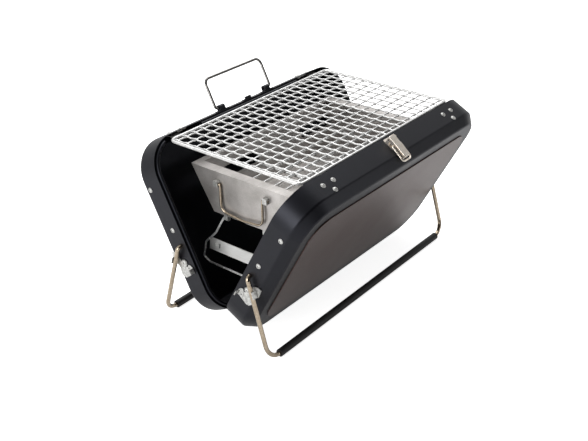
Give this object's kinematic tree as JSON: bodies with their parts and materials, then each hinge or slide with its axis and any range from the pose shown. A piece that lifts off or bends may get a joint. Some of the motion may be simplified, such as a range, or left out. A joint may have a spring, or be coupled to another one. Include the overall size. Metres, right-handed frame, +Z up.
{
  "type": "folding camp grill",
  "caption": "Folding camp grill: two hinged dished case halves on wire legs, a hanging charcoal tray and a lift-out woven wire cooking grill.",
  "frame": {"origin": "on the floor, straight below the middle of the case hinge", "axes": "+X along the hinge, +Y towards the half with the carry handle, +Z up"},
  "size_m": [0.4284, 0.2989, 0.2835],
  "materials": {
    "satin_black_paint": "satin black stoved paint on steel sheet",
    "brown_metallic_paint": "brown-grey metallic satin paint",
    "zinc_steel": "zinc-plated steel",
    "nickel_wire": "nickel-plated steel",
    "black_sleeve": "black plastic sleeve",
    "stainless_sheet": "brushed stainless steel",
    "chromed_wire": "chromed steel wire"
  },
  "bodies": {
    "rear_case": {"rear_shell": "satin_black_paint", "rear_panel": "brown_metallic_paint", "rear_rim_frame": "satin_black_paint", "rear_rivets": "zinc_steel", "rear_grill_rests": "zinc_steel", "rear_leg_clips": "zinc_steel", "rear_hinge_leaf": "zinc_steel", "hinge_pin": "zinc_steel", "handle_lugs": "nickel_wire", "latch_keeper": "satin_black_paint"},
    "front_case": {"front_shell": "satin_black_paint", "front_panel": "brown_metallic_paint", "front_rivets": "zinc_steel", "front_grill_rests": "zinc_steel", "front_leg_clips": "zinc_steel", "front_hinge_leaf": "zinc_steel", "latch_base": "nickel_wire", "latch_pin": "nickel_wire"},
    "front_leg": {"front_leg_wire": "nickel_wire", "front_leg_sleeve": "black_sleeve", "front_leg_nuts": "zinc_steel"},
    "rear_leg": {"rear_leg_wire": "nickel_wire", "rear_leg_sleeve": "black_sleeve", "rear_leg_nuts": "zinc_steel"},
    "carry_handle": {"carry_handle": "nickel_wire"},
    "latch_lever": {"latch_lever": "nickel_wire"},
    "latch_bail": {"latch_bail": "nickel_wire"},
    "charcoal_tray": {"charcoal_tray": "stainless_sheet", "charcoal_grate": "chromed_wire", "tray_handle_tabs": "stainless_sheet", "frame_ears": "stainless_sheet"},
    "left_tray_handle": {"left_tray_handle": "nickel_wire"},
    "right_tray_handle": {"right_tray_handle": "nickel_wire"},
    "left_end_frame": {"left_frame_wire": "nickel_wire", "left_frame_strap": "stainless_sheet"},
    "right_end_frame": {"right_frame_wire": "nickel_wire", "right_frame_strap": "stainless_sheet"},
    "cooking_grill": {"grill_border": "chromed_wire", "grill_long_wires": "chromed_wire", "grill_cross_wires": "chromed_wire"}
  },
  "joints": [
    {"name": "case_fold", "type": "hinge", "parent": "rear_case", "child": "front_case", "pos_m": [0, 0, 0.02427], "axis": [-1, 0, 0], "range_deg": [0, 54.8]},
    {"name": "front_leg_fold", "type": "hinge", "parent": "front_case", "child": "front_leg", "pos_m": [0, -0.05904, 0.11644], "axis": [1, 0, 0], "range_deg": [0, 43.8]},
    {"name": "rear_leg_fold", "type": "hinge", "parent": "rear_case", "child": "rear_leg", "pos_m": [0, 0.05904, 0.11644], "axis": [-1, 0, 0], "range_deg": [0, 43.8]},
    {"name": "carry_handle_tilt", "type": "hinge", "parent": "rear_case", "child": "carry_handle", "pos_m": [0, 0.12485, 0.2434], "axis": [-1, 0, 0], "range_deg": [0, 90]},
    {"name": "latch_lever_lift", "type": "hinge", "parent": "front_case", "child": "latch_lever", "pos_m": [0, -0.12579, 0.24629], "axis": [-1, 0, 0], "range_deg": [0, 75]},
    {"name": "latch_bail_swing", "type": "hinge", "parent": "latch_lever", "child": "latch_bail", "pos_m": [0, -0.1328, 0.23939], "axis": [-1, 0, 0], "range_deg": [0, 105]},
    {"name": "tray_lift", "type": "slide", "parent": "rear_case", "child": "charcoal_tray", "axis": [0, 0, 1], "range_m": [0, 1.06]},
    {"name": "grill_lift", "type": "slide", "parent": "rear_case", "child": "cooking_grill", "axis": [0, 0, 1], "range_m": [0, 1.06]},
    {"name": "left_frame_fold", "type": "hinge", "parent": "charcoal_tray", "child": "left_end_frame", "pos_m": [-0.143, 0, 0.13864], "axis": [0, -1, 0], "range_deg": [0, 98.5]},
    {"name": "right_frame_fold", "type": "hinge", "parent": "charcoal_tray", "child": "right_end_frame", "pos_m": [0.143, 0, 0.13864], "axis": [0, 1, 0], "range_deg": [0, 98.5]},
    {"name": "left_tray_handle_swing", "type": "hinge", "parent": "charcoal_tray", "child": "left_tray_handle", "pos_m": [-0.15134, 0, 0.19144], "axis": [0, 1, 0], "range_deg": [0, 170]},
    {"name": "right_tray_handle_swing", "type": "hinge", "parent": "charcoal_tray", "child": "right_tray_handle", "pos_m": [0.15134, 0, 0.19144], "axis": [0, -1, 0], "range_deg": [0, 170]}
  ],
  "couplings": [
    {"joint": "tray_lift", "follows": "case_fold", "m_per_rad": 1.1},
    {"joint": "grill_lift", "follows": "case_fold", "m_per_rad": 1.1}
  ]
}
